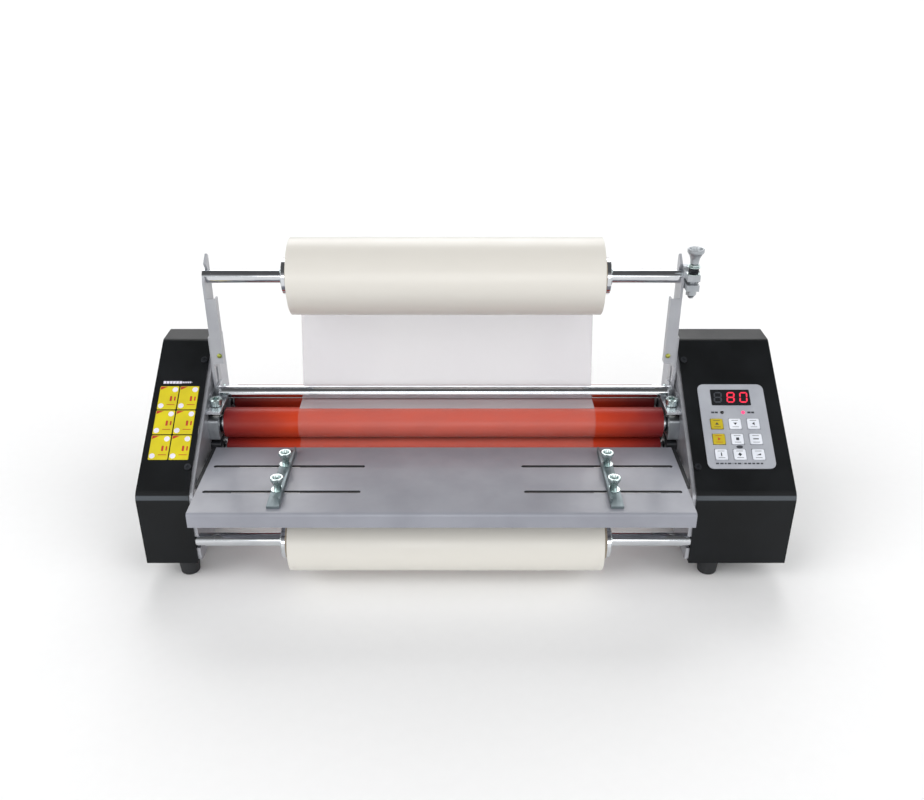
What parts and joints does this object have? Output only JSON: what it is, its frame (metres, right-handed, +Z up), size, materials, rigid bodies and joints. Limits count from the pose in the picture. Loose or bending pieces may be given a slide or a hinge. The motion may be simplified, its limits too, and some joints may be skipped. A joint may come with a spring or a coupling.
{
  "type": "roll laminator",
  "caption": "Desktop hot roll laminator with two film rolls, heated and pull rollers, a feed table with sliding guides, and black side cases with a keypad.",
  "frame": {"origin": "centre of the machine's footprint, on the surface it stands on", "axes": "+X to the operator's right, +Y from the operator to the back, +Z up"},
  "size_m": [0.51, 0.186, 0.2546],
  "materials": {
    "side_plate_steel": "brushed zinc-plated sheet",
    "black_powder_coat": "fine-texture powder coat",
    "base_paint": "matt paint",
    "foot_rubber": "matt",
    "rod_steel": "turned",
    "chrome_bar": "polished",
    "upright_paint": "silver-grey paint",
    "table_paint": "grey powder coat",
    "bearing_black": "moulded",
    "bearing_zinc": "cast",
    "cup_nylon": "moulded",
    "bridge_steel": "bright zinc",
    "lamp_glass": "frosted quartz",
    "film_web": "matt polyester film",
    "film_roll": "wound polyester film",
    "clamp_alloy": "die cast",
    "motor_steel": "plated",
    "panel_grey": "polycarbonate overlay",
    "board_green": "glass-fibre board",
    "inlet_black": "moulded",
    "screw_black": "black oxide and yellow zinc",
    "silicone_red": "satin silicone",
    "core_alloy": "turned",
    "gear_nylon": "moulded nylon",
    "gear_brass": "machined",
    "guide_steel": "grey zinc",
    "thumbscrew_zinc": "bright zinc",
    "rocker_red": "moulded",
    "key_yellow": "silk-screened overlay",
    "key_white": "silk-screened overlay"
  },
  "bodies": {
    "chassis": {"left_side_plate": "side_plate_steel", "right_side_plate": "side_plate_steel", "left_cover": "black_powder_coat", "right_cover": "black_powder_coat", "base_plates": "base_paint", "rubber_feet": "foot_rubber", "tie_rods": "rod_steel", "film_guide_bar": "chrome_bar", "left_upright": "upright_paint", "right_upright": "upright_paint", "feed_table": "table_paint", "lower_bearings": "bearing_black", "upper_bearings": "bearing_zinc", "spring_cups": "cup_nylon", "pressure_bridges": "bridge_steel", "heater_lamps": "lamp_glass", "upper_film_web": "film_web", "lower_film_web": "film_web", "brake_clamp": "clamp_alloy", "gear_motor": "motor_steel", "motor_bracket": "motor_steel", "control_panel": "panel_grey", "circuit_boards": "board_green", "power_inlet": "inlet_black", "cover_screws": "screw_black"},
    "front_lower_roller": {"front_lower_sleeve": "silicone_red", "front_lower_core": "core_alloy", "front_lower_gear": "gear_nylon"},
    "front_upper_roller": {"front_upper_sleeve": "silicone_red", "front_upper_core": "core_alloy", "front_upper_gear": "gear_nylon"},
    "rear_lower_roller_set": {"rear_lower_roller": "silicone_red", "rear_lower_gear": "gear_nylon"},
    "rear_upper_roller_set": {"rear_upper_roller": "silicone_red", "rear_upper_gear": "gear_nylon"},
    "idler": {"idler_gear": "gear_brass"},
    "pinion": {"motor_pinion": "gear_brass"},
    "upper_film": {"upper_film_shaft": "chrome_bar", "upper_film_roll": "film_roll"},
    "lower_film": {"lower_film_shaft": "chrome_bar", "lower_film_roll": "film_roll"},
    "left_paper_guide": {"left_guide": "guide_steel"},
    "right_paper_guide": {"right_guide": "guide_steel"},
    "left_front_thumbscrew_body": {"left_front_thumbscrew": "thumbscrew_zinc"},
    "left_rear_thumbscrew_body": {"left_rear_thumbscrew": "thumbscrew_zinc"},
    "right_front_thumbscrew_body": {"right_front_thumbscrew": "thumbscrew_zinc"},
    "right_rear_thumbscrew_body": {"right_rear_thumbscrew": "thumbscrew_zinc"},
    "left_pressure_screw_body": {"left_pressure_screw": "thumbscrew_zinc"},
    "right_pressure_screw_body": {"right_pressure_screw": "thumbscrew_zinc"},
    "brake_screw_body": {"brake_screw": "thumbscrew_zinc"},
    "power_rocker_body": {"power_rocker": "rocker_red"},
    "key_1_body": {"key_1": "key_yellow"},
    "key_2_body": {"key_2": "key_white"},
    "key_3_body": {"key_3": "key_white"},
    "key_4_body": {"key_4": "key_yellow"},
    "key_5_body": {"key_5": "key_white"},
    "key_6_body": {"key_6": "key_white"},
    "key_7_body": {"key_7": "key_white"},
    "key_8_body": {"key_8": "key_white"},
    "key_9_body": {"key_9": "key_white"}
  },
  "joints": [
    {"name": "front_lower_spin", "type": "hinge", "parent": "chassis", "child": "front_lower_roller", "pos_m": [-0.018, 0.02, 0.079], "axis": [-1, 0, 0], "continuous": true},
    {"name": "front_upper_spin", "type": "hinge", "parent": "chassis", "child": "front_upper_roller", "pos_m": [-0.018, 0.02, 0.105], "axis": [-1, 0, 0], "continuous": true},
    {"name": "rear_lower_spin", "type": "hinge", "parent": "chassis", "child": "rear_lower_roller_set", "pos_m": [-0.018, 0.062, 0.079], "axis": [-1, 0, 0], "continuous": true},
    {"name": "rear_upper_spin", "type": "hinge", "parent": "chassis", "child": "rear_upper_roller_set", "pos_m": [-0.018, 0.062, 0.105], "axis": [-1, 0, 0], "continuous": true},
    {"name": "idler_spin", "type": "hinge", "parent": "chassis", "child": "idler", "pos_m": [0.1855, 0.041, 0.079], "axis": [-1, 0, 0], "continuous": true},
    {"name": "pinion_spin", "type": "hinge", "parent": "chassis", "child": "pinion", "pos_m": [0.1855, 0.02, 0.058], "axis": [-1, 0, 0], "continuous": true},
    {"name": "upper_film_spin", "type": "hinge", "parent": "chassis", "child": "upper_film", "pos_m": [-0.018, 0.044, 0.224], "axis": [1, 0, 0], "continuous": true},
    {"name": "lower_film_spin", "type": "hinge", "parent": "chassis", "child": "lower_film", "pos_m": [-0.018, -0.05, 0.037], "axis": [1, 0, 0], "continuous": true},
    {"name": "left_guide_slide", "type": "slide", "parent": "chassis", "child": "left_paper_guide", "axis": [1, 0, 0], "range_m": [-0.054, 0.06]},
    {"name": "right_guide_slide", "type": "slide", "parent": "chassis", "child": "right_paper_guide", "axis": [1, 0, 0], "range_m": [-0.064, 0.05]},
    {"name": "left_front_screw_turn", "type": "hinge", "parent": "left_paper_guide", "child": "left_front_thumbscrew_body", "pos_m": [-0.1425, -0.063, 0.095], "axis": [0, 0, 1], "range_deg": [0, 360]},
    {"name": "left_rear_screw_turn", "type": "hinge", "parent": "left_paper_guide", "child": "left_rear_thumbscrew_body", "pos_m": [-0.1425, -0.026, 0.095], "axis": [0, 0, 1], "range_deg": [0, 360]},
    {"name": "right_front_screw_turn", "type": "hinge", "parent": "right_paper_guide", "child": "right_front_thumbscrew_body", "pos_m": [0.1115, -0.063, 0.095], "axis": [0, 0, 1], "range_deg": [0, 360]},
    {"name": "right_rear_screw_turn", "type": "hinge", "parent": "right_paper_guide", "child": "right_rear_thumbscrew_body", "pos_m": [0.1115, -0.026, 0.095], "axis": [0, 0, 1], "range_deg": [0, 360]},
    {"name": "left_pressure_turn", "type": "hinge", "parent": "chassis", "child": "left_pressure_screw_body", "pos_m": [-0.205, 0.02, 0.124], "axis": [0, 0, 1], "range_deg": [-90, 180]},
    {"name": "right_pressure_turn", "type": "hinge", "parent": "chassis", "child": "right_pressure_screw_body", "pos_m": [0.169, 0.02, 0.124], "axis": [0, 0, 1], "range_deg": [-90, 180]},
    {"name": "brake_turn", "type": "hinge", "parent": "chassis", "child": "brake_screw_body", "pos_m": [0.177, 0.0305, 0.24], "axis": [0, 0, 1], "range_deg": [-90, 360]},
    {"name": "power_rocker_tilt", "type": "hinge", "parent": "chassis", "child": "power_rocker_body", "pos_m": [0.222, 0.086, 0.098], "axis": [1, 0, 0], "range_deg": [-15, 0]},
    {"name": "key_1_press", "type": "slide", "parent": "chassis", "child": "key_1_body", "axis": [0, 0.5579, -0.8299], "range_m": [0, 0.0005], "stiffness_N_per_m": 1000},
    {"name": "key_2_press", "type": "slide", "parent": "chassis", "child": "key_2_body", "axis": [0, 0.5579, -0.8299], "range_m": [0, 0.0005], "stiffness_N_per_m": 1000},
    {"name": "key_3_press", "type": "slide", "parent": "chassis", "child": "key_3_body", "axis": [0, 0.5579, -0.8299], "range_m": [0, 0.0005], "stiffness_N_per_m": 1000},
    {"name": "key_4_press", "type": "slide", "parent": "chassis", "child": "key_4_body", "axis": [0, 0.5579, -0.8299], "range_m": [0, 0.0005], "stiffness_N_per_m": 1000},
    {"name": "key_5_press", "type": "slide", "parent": "chassis", "child": "key_5_body", "axis": [0, 0.5579, -0.8299], "range_m": [0, 0.0005], "stiffness_N_per_m": 1000},
    {"name": "key_6_press", "type": "slide", "parent": "chassis", "child": "key_6_body", "axis": [0, 0.5579, -0.8299], "range_m": [0, 0.0005], "stiffness_N_per_m": 1000},
    {"name": "key_7_press", "type": "slide", "parent": "chassis", "child": "key_7_body", "axis": [0, 0.5579, -0.8299], "range_m": [0, 0.0005], "stiffness_N_per_m": 1000},
    {"name": "key_8_press", "type": "slide", "parent": "chassis", "child": "key_8_body", "axis": [0, 0.5579, -0.8299], "range_m": [0, 0.0005], "stiffness_N_per_m": 1000},
    {"name": "key_9_press", "type": "slide", "parent": "chassis", "child": "key_9_body", "axis": [0, 0.5579, -0.8299], "range_m": [0, 0.0005], "stiffness_N_per_m": 1000}
  ],
  "couplings": [
    {"joint": "front_upper_spin", "follows": "front_lower_spin", "ratio": -1},
    {"joint": "rear_lower_spin", "follows": "front_lower_spin", "ratio": 1},
    {"joint": "rear_upper_spin", "follows": "front_lower_spin", "ratio": -1},
    {"joint": "idler_spin", "follows": "front_lower_spin", "ratio": -1.625},
    {"joint": "pinion_spin", "follows": "front_lower_spin", "ratio": -1.625}
  ]
}
